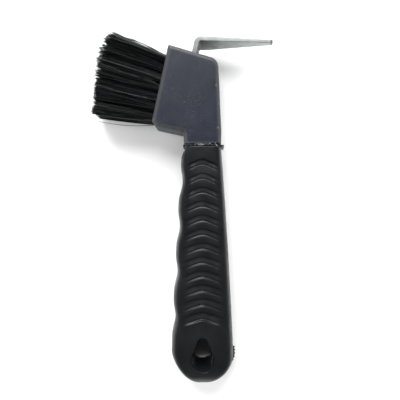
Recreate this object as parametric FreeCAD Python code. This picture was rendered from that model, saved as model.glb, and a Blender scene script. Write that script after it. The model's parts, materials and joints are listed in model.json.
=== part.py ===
# Hoof pick with a brush, lying flat on its back.
#
# A grey plastic moulding makes the head and runs down inside the handle as a tang that ends in an eye.
# A tapered steel hook is moulded into the head and bends over towards +X.
# Tufts of bristle are stapled into blind holes in the slanted brush face, on the -X side.
# A rubber grip with finger scallops, moulded ribs and a teardrop hanging hole covers the tang.
#
# Millimetres. While building, X = 0 is the handle's centreline, Y = 0 the butt, Y points to the head
# and Z = 0 is the surface the tool lies on. Everything is shifted at the end, so that the origin is the
# bottom centre of the whole tool's box.
import FreeCAD, Part

import math
import os

Vector = FreeCAD.Vector

# ---- Handle grip ----
GRIP_LENGTH = 129.8
GRIP_THICKNESS = 23.0
PLUMP = 1.2  # how far the rounded section would stand past the flat front and back, as a factor
SECTION_POWER = 3.2  # superellipse exponent of the cross-section
BUTT_HALF_WIDTH = 16.95
TOP_HALF_WIDTH = 10.4  # plain side of the grip at its top end
FINGER_BULGE = 0.8  # extra half width of the finger side at the top end
SIDE_BOW = 0.45
SCALLOP_PITCH = 24.7
SCALLOP_DEPTH = 1.5
SCALLOP_POWER = 1.5  # above 1, the valleys are narrower than the bulges
LOWEST_BULGE_Y = 24.2
TAPER_START_Y = 21.5
FINGER_ROUND_Y = 18.5  # the finger side's outline rounds in below this
FINGER_ROUND_POWER = 1.6
PLAIN_ROUND_Y = 15.0  # the plain side's outline rounds in below this
PLAIN_ROUND_POWER = 1.68
EDGE_ROUND_Y = 11.5  # the side profile thins below this
EDGE_ROUND_POWER = 2.0
RIM_ROUND = 1.4  # the grip's top end is rounded over by this much
SECTION_POINTS = 28
STATIONS_PER_SCALLOP = 6
BUTT_STATIONS = (0.3, 1.0, 2.2, 4.0, 6.5, 9.0)  # where the rounded butt's sections lie

# ---- Hanging hole, a teardrop through the butt ----
HOLE_Y = 15.0
HOLE_RADIUS = 6.0
TIP_RADIUS = 2.7
TIP_DISTANCE = 9.2  # from the round part's centre to the tip's centre
HOLE_LINING = 2.0  # rubber between the hole and the core's eye

# ---- Moulded ribs on the front and the back of the grip ----
RIB_COUNT = 12
RIB_PITCH = 7.42
FIRST_RIB_Y = 122.95
RECESS_DEPTH = 0.8
RECESS_HEIGHT = 4.0  # between the arch and the chevron, on the centreline
ARCH_DROP = 3.0
CHEVRON_SLOPE = 0.4
PANEL_SHARE = 0.7  # how much of the grip's width the ribbing covers

# ---- Head and core ----
HEAD_THICKNESS = 20.0
NECK_HALF_WIDTH = 10.2
HEAD_EDGE_RADIUS = 2.5
LEAN = math.radians(12.2)  # the brush face and the hook's leg lean towards the hook side
HEAD_TOP_LEFT = (-18.5, 185.2)
HEAD_TOP_RIGHT = (8.55, 177.0)
HEAD_RIGHT_LOW = (10.35, 138.0)
BRUSH_FACE_LENGTH = 44.8
BRUSH_CORNER_CHAMFER = 2.5
HEAD_CROWN_RADIUS = 5.5
NECK_CORNER_RADIUS = 1.2
HEAD_CORNER_RADIUS = 0.6  # the sharp corner above the brush
BRUSH_CORNER_RADIUS = 1.5
HEAD_SIDE_RADIUS = 4.0
FUSE_OVERLAP = 1.0  # how far the collar and the tang run into the neck
GROOVE_HEIGHT = 1.8  # the dark groove between the neck and the grip's rim
GROOVE_DEPTH = 1.0
TANG_HALF_WIDTH_TOP = 6.5
TANG_HALF_WIDTH_BOTTOM = 9.0
TANG_THICKNESS = 12.0
EYE_WALL = 3.5

# ---- Hook ----
HOOK_WIDTH = 14.5
HOOK_THICKNESS = 2.8
HOOK_TIP_WIDTH = 4.0
HOOK_TIP_THICKNESS = 1.9
HOOK_BEND_INNER_RADIUS = 1.0
HOOK_TOP_Y = 190.1
HOOK_TIP_X = 39.2
HOOK_LEG_SETBACK = 13.3  # from the brush face to the leg's near side
HOOK_SHANK_DEPTH = 32.0
HOOK_TAPER_START_X = 2.5
HOOK_TIP_CORNER = 1.5
HOOK_KEY_HOLE_RADIUS = 3.0
HOOK_KEY_HOLE_DEPTH = 22.0

# ---- Brush ----
TUFTS_PER_ROW = 7
TUFT_ROWS = 3
TUFT_PITCH = 5.42
TUFT_ROW_PITCH = 5.6
FIRST_TUFT = 7.4  # from the head's top corner, down the brush face
TUFT_HOLE_RADIUS = 2.1
TUFT_HOLE_DEPTH = 9.0
TUFT_HOLE_OVERSHOOT = 2.0
TUFT_PLAY = 0.05
TRIM_PLACE = (-59.0, 147.3)  # the brush's flat trimmed end passes through here
TRIM_LEAN = math.radians(6.6)
TOP_TUFT_CUT = 2.6  # the top tufts are this much shorter
TOP_TUFT_TILT = math.radians(6.5)
BOTTOM_TUFT_TILT = math.radians(-2.0)
SIDE_TUFT_TILT = math.radians(3.0)
TUFT_END_RADIUS = 3.1
ANCHOR_THICKNESS = 0.4
ANCHOR_HEIGHT = 2.6
ANCHOR_BITE = 0.35

MIDDLE_Z = GRIP_THICKNESS / 2
NECK_END_Y = GRIP_LENGTH + GROOVE_HEIGHT
FACE_DOWN = Vector(-math.sin(LEAN), -math.cos(LEAN), 0)  # down along the brush face
FACE_OUT = Vector(-math.cos(LEAN), math.sin(LEAN), 0)  # out of the brush face


def rounded_outline(corners, z):
    """A closed wire at height z through (x, y, radius) corners, each rounded by an arc of its radius."""
    points = [Vector(x, y, z) for x, y, _ in corners]
    starts, middles, ends = [], [], []
    for i, (_, _, radius) in enumerate(corners):
        here, before, after = points[i], points[i - 1], points[(i + 1) % len(points)]
        back = (before - here).normalize()
        on = (after - here).normalize()
        half = back.getAngle(on) / 2
        reach = radius / math.tan(half)
        centre = here + (back + on).normalize() * (radius / math.sin(half))
        starts.append(here + back * reach)
        ends.append(here + on * reach)
        middles.append(centre - (back + on).normalize() * radius)
    edges = []
    for i in range(len(points)):
        if corners[i][2] > 0:
            edges.append(Part.Arc(starts[i], middles[i], ends[i]).toShape())
        edges.append(Part.makeLine(ends[i], starts[(i + 1) % len(points)]))
    return Part.Wire(Part.__sortEdges__(edges))


def prism(wire, height):
    return Part.Face(wire).extrude(Vector(0, 0, height))


def teardrop(z, height, offset):
    """The hanging hole's prism, grown by offset all round."""
    radius, tip_radius = HOLE_RADIUS + offset, TIP_RADIUS + offset
    round_centre = Vector(0, HOLE_Y, z)
    tip_centre = Vector(0, HOLE_Y + TIP_DISTANCE, z)
    slant = math.asin((radius - tip_radius) / TIP_DISTANCE)
    side = Vector(math.cos(slant), math.sin(slant), 0)
    other = Vector(-side.x, side.y, 0)
    bottom = round_centre - Vector(0, radius, 0)
    top = tip_centre + Vector(0, tip_radius, 0)
    right = [round_centre + side * radius, tip_centre + side * tip_radius]
    left = [round_centre + other * radius, tip_centre + other * tip_radius]
    edges = [
        Part.Arc(left[0], bottom, right[0]).toShape(),
        Part.makeLine(right[0], right[1]),
        Part.Arc(right[1], top, left[1]).toShape(),
        Part.makeLine(left[1], left[0]),
    ]
    return prism(Part.Wire(edges), height)


# ---- Grip ----
def half_widths(y):
    """Half widths of the grip at y, on the finger side and on the plain side."""
    share = (y - TAPER_START_Y) / (GRIP_LENGTH - TAPER_START_Y)
    share = min(max(share, 0.0), 1.0)
    plain = BUTT_HALF_WIDTH + (TOP_HALF_WIDTH - BUTT_HALF_WIDTH) * share + SIDE_BOW * math.sin(math.pi * share)
    fingers = plain + FINGER_BULGE * share
    if y > LOWEST_BULGE_Y:
        wave = 1 - math.cos(2 * math.pi * (y - LOWEST_BULGE_Y) / SCALLOP_PITCH)
        fingers -= SCALLOP_DEPTH * (wave / 2) ** SCALLOP_POWER
    fingers *= round_over(y, FINGER_ROUND_Y, FINGER_ROUND_POWER)
    return fingers, plain * round_over(y, PLAIN_ROUND_Y, PLAIN_ROUND_POWER)


def round_over(y, height, power):
    """From 0 at the butt to 1 at that height, as a superellipse."""
    if y >= height:
        return 1.0
    return (1 - ((height - y) / height) ** power) ** (1 / power)


def grip_section(y):
    """The grip's rounded cross-section at y, before its front and back are cut flat."""
    fingers, plain = half_widths(y)
    half_depth = MIDDLE_Z * PLUMP * round_over(y, EDGE_ROUND_Y, EDGE_ROUND_POWER)
    from_rim = GRIP_LENGTH - y
    if from_rim < RIM_ROUND:
        rim = RIM_ROUND - math.sqrt(RIM_ROUND**2 - (RIM_ROUND - from_rim) ** 2)
        fingers, plain, half_depth = fingers - rim, plain - rim, half_depth - rim
    points = []
    for i in range(SECTION_POINTS):
        angle = 2 * math.pi * i / SECTION_POINTS
        across, up = math.cos(angle), math.sin(angle)
        x = (plain if across > 0 else fingers) * math.copysign(abs(across) ** (2 / SECTION_POWER), across)
        z = half_depth * math.copysign(abs(up) ** (2 / SECTION_POWER), up)
        points.append(Vector(x, y, MIDDLE_Z + z))
    curve = Part.BSplineCurve()
    curve.interpolate(points, PeriodicFlag=True)
    return Part.Wire(curve.toShape())


def grip_outer():
    stations = [*BUTT_STATIONS, EDGE_ROUND_Y, PLAIN_ROUND_Y, FINGER_ROUND_Y]
    step = SCALLOP_PITCH / STATIONS_PER_SCALLOP
    y = TAPER_START_Y
    while y < GRIP_LENGTH - 2 * RIM_ROUND:
        stations.append(y)
        y += step
    stations += [GRIP_LENGTH - share * RIM_ROUND for share in (1.0, 0.4, 0.1, 0.0)]
    loft = Part.makeLoft([grip_section(y) for y in stations], True, False)
    slab = Part.makeBox(2 * GRIP_LENGTH, 2 * GRIP_LENGTH, GRIP_THICKNESS, Vector(-GRIP_LENGTH, -1, 0))
    return loft.common(slab)


def panel_half_width(y):
    """Half width of the ribbing on the grip's front or back at y."""
    fingers, plain = half_widths(y)
    return PANEL_SHARE * (fingers + plain) / 2


def rib_recess(apex_y, z):
    """The hollow between one arch, above, and the chevron below it."""
    reach = panel_half_width(apex_y - ARCH_DROP)
    top = Vector(0, apex_y, z)
    chevron = Vector(0, apex_y - RECESS_HEIGHT, z)
    ends = [Vector(side * reach, apex_y - ARCH_DROP, z) for side in (-1, 1)]
    feet = [Vector(side * reach, chevron.y - CHEVRON_SLOPE * reach, z) for side in (-1, 1)]
    edges = [
        Part.Arc(ends[0], top, ends[1]).toShape(),
        Part.makeLine(ends[1], feet[1]),
        Part.makeLine(feet[1], chevron),
        Part.makeLine(chevron, feet[0]),
        Part.makeLine(feet[0], ends[0]),
    ]
    return prism(Part.Wire(edges), 2 * RECESS_DEPTH)


def make_grip(core):
    recesses = []
    for i in range(RIB_COUNT):
        apex_y = FIRST_RIB_Y - RIB_PITCH * i
        recesses.append(rib_recess(apex_y, GRIP_THICKNESS - RECESS_DEPTH))
        recesses.append(rib_recess(apex_y, -RECESS_DEPTH))
    grip = grip_outer().cut(Part.makeCompound(recesses))
    grip = grip.cut(teardrop(-1, GRIP_THICKNESS + 2, 0))
    return grip.cut(core)


# ---- Head and core ----
def brush_face_point(down, z):
    """A point on the brush face, that far down from the head's top corner."""
    return Vector(HEAD_TOP_LEFT[0], HEAD_TOP_LEFT[1], z) + FACE_DOWN * down


def head_block():
    """The head with its neck: one outline, extruded, with its front and back edges rounded."""
    bottom = MIDDLE_Z - HEAD_THICKNESS / 2
    low = brush_face_point(BRUSH_FACE_LENGTH - BRUSH_CORNER_CHAMFER, 0)
    corner = brush_face_point(BRUSH_FACE_LENGTH, 0)
    under = corner - FACE_OUT * BRUSH_CORNER_CHAMFER
    run = (corner.x + NECK_HALF_WIDTH) / FACE_OUT.x
    inner = corner - FACE_OUT * run
    corners = [
        (*HEAD_TOP_LEFT, HEAD_CORNER_RADIUS),
        (low.x, low.y, BRUSH_CORNER_RADIUS),
        (under.x, under.y, BRUSH_CORNER_RADIUS),
        (inner.x, inner.y, NECK_CORNER_RADIUS),
        (-NECK_HALF_WIDTH, NECK_END_Y, 0),
        (NECK_HALF_WIDTH, NECK_END_Y, 0),
        (*HEAD_RIGHT_LOW, HEAD_SIDE_RADIUS),
        (*HEAD_TOP_RIGHT, HEAD_CROWN_RADIUS),
    ]
    block = prism(rounded_outline(corners, bottom), HEAD_THICKNESS)
    faces = (bottom, bottom + HEAD_THICKNESS)
    edges = []
    for edge in block.Edges:
        heights = [v.Z for v in edge.Vertexes]
        rim = any(all(abs(h - face) < 1e-6 for h in heights) for face in faces)
        neck_end = all(abs(v.Y - NECK_END_Y) < 1e-6 for v in edge.Vertexes)
        if rim and not neck_end:
            edges.append(edge)
    return block.makeFillet(HEAD_EDGE_RADIUS, edges)


def tang():
    """The bar inside the grip, ending in an eye around the hanging hole."""
    bottom = MIDDLE_Z - TANG_THICKNESS / 2
    foot = HOLE_Y + TIP_DISTANCE
    corners = [
        (-TANG_HALF_WIDTH_TOP, GRIP_LENGTH + FUSE_OVERLAP, 0),
        (-TANG_HALF_WIDTH_BOTTOM, foot, 0),
        (TANG_HALF_WIDTH_BOTTOM, foot, 0),
        (TANG_HALF_WIDTH_TOP, GRIP_LENGTH + FUSE_OVERLAP, 0),
    ]
    bar = prism(rounded_outline(corners, bottom), TANG_THICKNESS)
    eye = teardrop(bottom, TANG_THICKNESS, HOLE_LINING + EYE_WALL)
    return bar.fuse(eye).cut(teardrop(-1, GRIP_THICKNESS + 2, HOLE_LINING))


def collar():
    """The set-back stretch between the neck and the grip's rim."""
    half_width = NECK_HALF_WIDTH - GROOVE_DEPTH
    half_depth = HEAD_THICKNESS / 2 - GROOVE_DEPTH
    corner = HEAD_EDGE_RADIUS - GROOVE_DEPTH
    start = Vector(-half_width, GRIP_LENGTH, MIDDLE_Z - half_depth)
    box = Part.makeBox(2 * half_width, GROOVE_HEIGHT + FUSE_OVERLAP, 2 * half_depth, start)
    along = [edge for edge in box.Edges if abs(edge.Vertexes[0].Y - edge.Vertexes[1].Y) > 1e-6]
    return box.makeFillet(corner, along)


def make_core(hook, tufts):
    core = head_block().fuse([collar(), tang()]).removeSplitter()
    holes = [hole for hole, _, _ in tufts.values()]
    anchors = [anchor for _, _, anchor in tufts.values()]
    return core.cut(hook).cut(Part.makeCompound(holes)).cut(Part.makeCompound(anchors))


# ---- Hook ----
def hook_profile():
    """The bent bar seen from the side, as a closed wire at Z = 0."""
    leg_up = FACE_DOWN * -1
    leg_in = FACE_OUT * -1  # from the brush face towards the hook's inside
    arm, arm_down = Vector(1, 0, 0), Vector(0, -1, 0)
    outer_radius = HOOK_BEND_INNER_RADIUS + HOOK_THICKNESS
    leg_line = brush_face_point(0, 0) + leg_in * HOOK_LEG_SETBACK
    # The bend's centre is one outer radius inside the leg's near side and below the arm's top.
    centre_start = leg_line + leg_in * outer_radius
    rise = (HOOK_TOP_Y - outer_radius - centre_start.y) / leg_up.y
    centre = centre_start + leg_up * rise
    outer_leg, inner_leg = centre - leg_in * outer_radius, centre - leg_in * HOOK_BEND_INNER_RADIUS
    outer_arm, inner_arm = centre - arm_down * outer_radius, centre - arm_down * HOOK_BEND_INNER_RADIUS
    middle = (leg_in * -1 - arm_down).normalize()
    shank = HOOK_SHANK_DEPTH + rise
    tip_top = outer_arm + arm * (HOOK_TIP_X - centre.x)
    tip_under = tip_top + arm_down * HOOK_TIP_THICKNESS
    edges = [
        Part.makeLine(outer_leg - leg_up * shank, outer_leg),
        Part.Arc(outer_leg, centre + middle * outer_radius, outer_arm).toShape(),
        Part.makeLine(outer_arm, tip_top),
        Part.makeLine(tip_top, tip_under),
        Part.makeLine(tip_under, inner_arm),
        Part.Arc(inner_arm, centre + middle * HOOK_BEND_INNER_RADIUS, inner_leg).toShape(),
        Part.makeLine(inner_leg, inner_leg - leg_up * shank),
        Part.makeLine(inner_leg - leg_up * shank, outer_leg - leg_up * shank),
    ]
    return Part.Wire(edges)


def hook_plan():
    """The hook seen from the head's end: full width at the leg, tapering along the arm to the tip."""
    far_left = HEAD_TOP_LEFT[0]
    half, tip_half = HOOK_WIDTH / 2, HOOK_TIP_WIDTH / 2
    points = [
        (far_left, -half),
        (HOOK_TAPER_START_X, -half),
        (HOOK_TIP_X - HOOK_TIP_CORNER, -tip_half),
        (HOOK_TIP_X, -tip_half / 2),
        (HOOK_TIP_X, tip_half / 2),
        (HOOK_TIP_X - HOOK_TIP_CORNER, tip_half),
        (HOOK_TAPER_START_X, half),
        (far_left, half),
        (far_left, -half),
    ]
    wire = Part.makePolygon([Vector(x, 0, MIDDLE_Z + z) for x, z in points])
    return Part.Face(wire).extrude(Vector(0, 2 * HOOK_TOP_Y, 0))


def make_hook():
    bar = prism(hook_profile(), GRIP_THICKNESS).common(hook_plan())
    middle = brush_face_point(HOOK_KEY_HOLE_DEPTH, MIDDLE_Z) - FACE_OUT * HOOK_LEG_SETBACK
    key_hole = Part.makeCylinder(
        HOOK_KEY_HOLE_RADIUS, 3 * HOOK_THICKNESS, middle + FACE_OUT * HOOK_THICKNESS, FACE_OUT * -1
    )
    return bar.cut(key_hole)


# ---- Brush ----
def tuft_frame(column, row):
    """Where a tuft leaves the brush face, and the way that it points."""
    share = column / (TUFTS_PER_ROW - 1)
    side = row - (TUFT_ROWS - 1) / 2
    root = brush_face_point(FIRST_TUFT + TUFT_PITCH * column, MIDDLE_Z + TUFT_ROW_PITCH * side)
    tilt = TOP_TUFT_TILT + (BOTTOM_TUFT_TILT - TOP_TUFT_TILT) * share
    flat = FACE_OUT * math.cos(tilt) - FACE_DOWN * math.sin(tilt)
    spread = SIDE_TUFT_TILT * side
    return root, flat * math.cos(spread) + Vector(0, 0, math.sin(spread))


def make_tuft(column, row):
    """The drilled hole, the tuft that fills it and fans out of it, and the staple across its fold."""
    root, out = tuft_frame(column, row)
    trim_out = Vector(-math.cos(TRIM_LEAN), math.sin(TRIM_LEAN), 0)
    length = (Vector(*TRIM_PLACE, root.z) - root).dot(trim_out) / out.dot(trim_out)
    if column == 0:
        length -= TOP_TUFT_CUT
    bottom = root - out * TUFT_HOLE_DEPTH
    hole = Part.makeCylinder(TUFT_HOLE_RADIUS, TUFT_HOLE_DEPTH + TUFT_HOLE_OVERSHOOT, bottom, out)
    packed = TUFT_HOLE_RADIUS - TUFT_PLAY
    start = bottom + out * TUFT_PLAY
    mouth = start + out * TUFT_HOLE_DEPTH
    stem = Part.makeCylinder(packed, TUFT_HOLE_DEPTH, start, out)
    brush = Part.makeCone(packed, TUFT_END_RADIUS, length, mouth, out)
    tuft = stem.fuse(brush)
    reach = TUFT_HOLE_RADIUS + ANCHOR_BITE
    anchor = Part.makeBox(
        ANCHOR_THICKNESS, 2 * reach, ANCHOR_HEIGHT, Vector(-ANCHOR_THICKNESS / 2, -reach, TUFT_PLAY)
    )
    height = out.cross(Vector(0, 0, 1)).normalize()
    anchor.Placement = FreeCAD.Placement(bottom, FreeCAD.Rotation(height, out.cross(height), out, "ZXY"))
    return hole, tuft.cut(anchor), anchor


def make_tufts():
    rows = "abc"
    return {
        f"bristle_tuft_{rows[row]}{column + 1}": make_tuft(column, row)
        for row in range(TUFT_ROWS)
        for column in range(TUFTS_PER_ROW)
    }


def build():
    hook = make_hook()
    tufts = make_tufts()
    core = make_core(hook, tufts)
    parts = {"head_and_core": core, "steel_hook": hook, "rubber_grip": make_grip(core)}
    parts.update({name: tuft for name, (_, tuft, _) in tufts.items()})
    parts["tuft_staples"] = Part.makeCompound([anchor for _, _, anchor in tufts.values()])
    return parts


def main():
    parts = build()
    box = Part.makeCompound(list(parts.values())).optimalBoundingBox(True, False)
    shift = Vector(-(box.XMin + box.XMax) / 2, -(box.YMin + box.YMax) / 2, -box.ZMin)
    os.makedirs("parts", exist_ok=True)
    for name, shape in parts.items():
        shape = shape.copy()
        shape.translate(shift)
        valid = shape.isValid()
        shape.exportStep(f"parts/{name}.step")
        print(f"{name}: {len(shape.Solids)} solids, {shape.Volume / 1000:.2f} cm3, valid {valid}")
    print(f"box {box.XLength:.2f} x {box.YLength:.2f} x {box.ZLength:.2f}, shift {shift}")


main()
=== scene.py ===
import math
import random

import bmesh
import bpy
import numpy as np
from mathutils import Matrix, Vector, noise
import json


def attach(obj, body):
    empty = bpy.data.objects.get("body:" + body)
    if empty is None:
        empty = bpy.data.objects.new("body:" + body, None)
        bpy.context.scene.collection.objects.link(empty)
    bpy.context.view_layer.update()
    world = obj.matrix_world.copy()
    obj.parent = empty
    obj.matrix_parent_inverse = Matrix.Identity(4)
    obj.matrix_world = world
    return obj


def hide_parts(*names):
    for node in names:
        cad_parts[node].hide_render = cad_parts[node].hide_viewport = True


# A hoof pick that lies flat: ribbed rubber grip, grey moulded head, steel hook and a stiff brush.
# Sizes are in millimetres. Places are counted from the tool's centreline (x), the butt (y) and the
# surface it lies on (z), and place() turns them into the frame's metres.

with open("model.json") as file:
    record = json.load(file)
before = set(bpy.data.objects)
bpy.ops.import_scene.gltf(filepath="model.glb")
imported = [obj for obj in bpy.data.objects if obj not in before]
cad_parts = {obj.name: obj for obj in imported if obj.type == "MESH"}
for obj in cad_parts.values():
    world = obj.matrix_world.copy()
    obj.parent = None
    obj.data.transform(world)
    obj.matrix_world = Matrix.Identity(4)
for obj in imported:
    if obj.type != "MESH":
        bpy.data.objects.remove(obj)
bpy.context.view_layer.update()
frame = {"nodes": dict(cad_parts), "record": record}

MM = 0.001
BODY = "root"

# ---- Driving dimensions ----
GRIP_LENGTH = 129.8
GRIP_THICKNESS = 23.0
MIDDLE_Z = GRIP_THICKNESS / 2
BUTT_HALF_WIDTH = 16.95
TOP_HALF_WIDTH = 10.4
FINGER_BULGE = 0.8
SIDE_BOW = 0.45
SCALLOP_PITCH = 24.7
SCALLOP_DEPTH = 1.5
SCALLOP_POWER = 1.5
LOWEST_BULGE_Y = 24.2
TAPER_START_Y = 21.5
FINGER_ROUND_Y = 18.5
FINGER_ROUND_POWER = 1.6
PLAIN_ROUND_Y = 15.0
PLAIN_ROUND_POWER = 1.68
EDGE_ROUND_Y = 11.5
EDGE_ROUND_POWER = 2.0
SECTION_POWER = 3.2
PLUMP = 1.2
SHOULDER_START = 0.8
RIM_ROUND = 0.6
BUTT_START_Y = 0.02
GRIP_SIDES = 176
GRIP_FINE_STEPS = 1440
GRIP_ROW_STEP = 0.26
BUTT_ROWS = 56
RIM_ROWS = 9

HOLE_Y = 15.0
HOLE_RADIUS = 6.0
HOLE_TIP_RADIUS = 2.7
HOLE_TIP_DISTANCE = 9.2
HOLE_LIP = 1.3
HOLE_LIP_STEPS = 9
HOLE_SIDES = 96
HOLE_OVERSHOOT = 3.0  # how far the cutter stands out of the grip at each end
HOLE_LIP_SPARE = 0.02
# The hole's rim is polished by use. A ramp turns the distance from its centre, with 20 mm as 1, into polish.
POLISH_PER_METRE = 50.0
POLISH_STOPS = ((0.355, 1.0), (0.38, 0.0))

RIB_COUNT = 12
RIB_PITCH = 7.42
FIRST_RIB_Y = 122.95
RIB_DEPTH = 1.3
PANEL_SHARE = 0.7
TOP_LIP_BELOW_ARCH = 3.5
LOW_LIP_BELOW_ARCH = 4.6
# Depth from an arch down to the lip below it, and from that lip down to the next arch, as shares.
HOLLOW_SHARES = (0.0, 0.07, 0.3, 0.74, 0.81, 0.88, 1.0)
TOP_HOLLOW_DEPTHS = (0.55, 1.1, 1.02, 0.86, 1.04, 1.0, 0.88)
LOW_HOLLOW_DEPTHS = (0.5, 1.25, 1.15, 0.75, 1.0, 0.96, 0.25)
SIDE_HOLLOW_DEPTHS = (0.55, 1.2, 1.1, 0.76, 0.96, 0.93, 0.74)
LAST_SIDE_DEPTHS = (0.55, 1.15, 1.02, 0.52, 0.42, 0.3, 0.06)
CREST_SHARES = (0.0, 0.3, 0.6, 1.0)
TOP_CREST_DEPTHS = (0.88, 0.78, 0.69, 0.6)
LOW_CREST_DEPTHS = (0.25, 0.08, 0.18, 0.48)
SIDE_CREST_DEPTHS = (0.74, 0.62, 0.56, 0.55)
TOP_RIB_STRENGTH = 0.8
# The lips stay high in the middle and turn into the side depths here, and the whole ribbing fades out
# between RIB_FADE_FROM and RIB_FADE_TO. All four are shares of the panel's half width.
LIP_REACH = 0.5
LIP_FADE = 0.3
RIB_FADE_FROM = 0.7
RIB_FADE_TO = 1.12
ARCH_DROP = 3.1
ARCH_ROUNDNESS = 0.32
# A lip is an arch on the top rib and almost a chevron on the lowest, where it also drops further.
TOP_LIP_ROUNDNESS = 0.5
LIP_ROUNDNESS_LOSS = 0.42
LOW_LIP_EXTRA_DROP = 0.5
CREST_END = 1.2  # a crest may run on past the next arch, as a share of its height

FINGER_RIM_HEIGHT = 5.5
FINGER_RIM_INSET = 2.0
FINGER_RIM_POWER = 1.5

PARTING_BEAD = 0.15
PARTING_HALF_WIDTH = 0.45
FLASH_HEIGHT = 1.35
FLASH_FROM_Y = 9.8
FLASH_TO_Y = 19.8
FLASH_START_FADE = 0.8
FLASH_END_FADE = 0.6
FLASH_RAGGED = 0.25
FLASH_WAVES = (2.1, 5.3)  # in radians per millimetre

# Each ring of the flash round the neck: how far above the grip's rim, and how far out.
RIM_FLASH_PROFILE = ((-1.5, -0.6), (-0.2, 0.5), (0.5, 0.75), (1.1, 0.6), (1.5, 0.1), (1.6, -0.6))
RIM_FLASH_HALF_WIDTH = 9.5
RIM_FLASH_HALF_DEPTH = 9.6
RIM_FLASH_POWER = 5.0
RIM_FLASH_SIDES = 240
RIM_FIN = 1.6  # a fin that sticks out on the plain side
RIM_FIN_POWER = 8
RIM_FIN_RINGS = (1, 2, 3)
# Two noises tear the flash: a fine one and a coarse one. Each moves its edge outwards and upwards.
FINE_TEAR_SCALE = 14
FINE_TEAR_RING_STEP = 0.9
FINE_TEAR_OUT = 0.75
FINE_TEAR_UP = 0.7
COARSE_TEAR_SCALE = 4.5
COARSE_TEAR_LAYER = 7.0
COARSE_TEAR_OUT = 0.6
COARSE_TEAR_UP = 1.3

LEAN = math.radians(12.2)
HEAD_TOP_LEFT = (-18.5, 185.2)
HEAD_BELOW_RIM = 6  # how far the visible part of the moulding reaches down into the grip
HEAD_VOXEL = 0.35
HEAD_SOFTEN_FACTOR = 0.5
HEAD_SOFTEN_STEPS = 5
MERGE_DISTANCE = 1e-6  # in metres

TUFTS_PER_ROW = 7
TUFT_ROWS = 3
TUFT_PITCH = 5.42
TUFT_ROW_PITCH = 5.6
FIRST_TUFT = 7.4
TRIM_PLACE = (-59.6, 147.3)
TRIM_LEAN = math.radians(6.6)
TOP_TUFT_CUT = 3.6
TOP_TUFT_SLANT = 1.7
SECOND_TUFT_CUT = 1.1
LAST_TUFT_SLANT = 0.5
TOP_TUFT_TILT = math.radians(6.5)
BOTTOM_TUFT_TILT = math.radians(-2.0)
SIDE_TUFT_TILT = math.radians(3.0)
STRAY_FILAMENTS = (86, 107)  # two in each of the lowest tufts that stick out below
STRAY_DROP = 5.0

RANDOM_SEED = 7
FILAMENTS_PER_TUFT = 120
FILAMENT_RINGS = 7
FILAMENT_SIDES = 5
FILAMENT_TAPER = 0.3
FILAMENT_RADII = (0.17, 0.24)
GOLDEN_ANGLE = math.pi * (3 - math.sqrt(5))
# The higher this power, the fewer strands are painted pale as painted sheen.
SHEEN_STRAND_POWER = 3
# Half sizes of a tuft along the face and across it: at its hole, and how far it splays at its tip.
ROOT_HALF_HEIGHT = 2.05
ROOT_HALF_DEPTH = 1.9
TIP_HALF_HEIGHT = 3.5
TIP_HALF_DEPTH = 3.1
ROOT_START = 1.5  # how far inside its hole a filament starts
SPLAY_POWER = 0.8
BRUSH_LOW_Z = 0.35
BRUSH_TOP_MARGIN = 0.3
# Standard deviations of what differs from tuft to tuft and from filament to filament.
TUFT_LEAN = (0.5, 0.4)
TIP_SCATTER = (0.85, 0.6)
BOW = (0.5, 0.4)
LENGTH_SCATTER = 0.75
LONGEST_EXTRA = 1.2
OUTER_SHORTENING = 1.1
BROKEN_CHANCE = 0.08
BROKEN_LENGTHS = (1.5, 5.0)
DROOP_CHANCE = 0.03
DROOP = 2.5

HOOK_WIDTH = 14.5
HOOK_THICKNESS = 2.8
HOOK_TIP_WIDTH = 4.0
HOOK_TIP_THICKNESS = 1.9
HOOK_BEND_INNER_RADIUS = 1.0
HOOK_TOP_Y = 190.1
HOOK_TIP_X = 39.2
HOOK_LEG_SETBACK = 13.3
HOOK_TAPER_START_X = 2.5
HOOK_BEND_X = -4.0
HOOK_TIP_CORNER = 0.6
HOOK_CORNER = 0.42
HOOK_CORNER_LIMIT = 0.98  # keeps a little flat on the thinnest part of the bar
HOOK_CORNER_POINTS = 10
HOOK_LEG_IN_HEAD = 6.0
HOOK_LEG_STEPS = 14
HOOK_BEND_STEPS = 16
HOOK_ARM_STEPS = 48

# Staging: distances in metres, but the lens, the sensor and the camera's place in millimetres.
LIGHT_DISTANCE = 1.1
LIGHT_TARGET_SHARE = 0.75
FLOOR_HALF_SIZE = 3.0
FLOOR_DROP = 0.0002
ROOM_BRIGHTNESS = 0.5
CAMERA_LENS = 37.3
CAMERA_SENSOR = 36.0
CAMERA_CLIP_START = 0.01
CAMERA_X = -1.3
CAMERA_Y = 101.0
CAMERA_HEIGHT = 232.0

mounts = {mount["name"]: mount for mount in frame["record"]["mounts"]}
hole_x, hole_y = mounts["hang_hole"]["pos_m"][:2]
ORIGIN = Vector((hole_x, hole_y - HOLE_Y * MM, 0.0))

FACE_DOWN = Vector((-math.sin(LEAN), -math.cos(LEAN), 0))
FACE_OUT = Vector((-math.cos(LEAN), math.sin(LEAN), 0))


def place(x, y, z):
    return ORIGIN + Vector((x, y, z)) * MM


def smooth(low, high, value):
    """0 below low, 1 above high, and a smooth step between them. Works on numbers and arrays."""
    share = np.clip((value - low) / (high - low), 0.0, 1.0)
    return share * share * (3 - 2 * share)


# ---- Materials ----
def new_material(name):
    material = bpy.data.materials.new(name)
    material.use_nodes = True
    nodes = material.node_tree.nodes
    return material, nodes, material.node_tree.links, nodes["Principled BSDF"]


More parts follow.
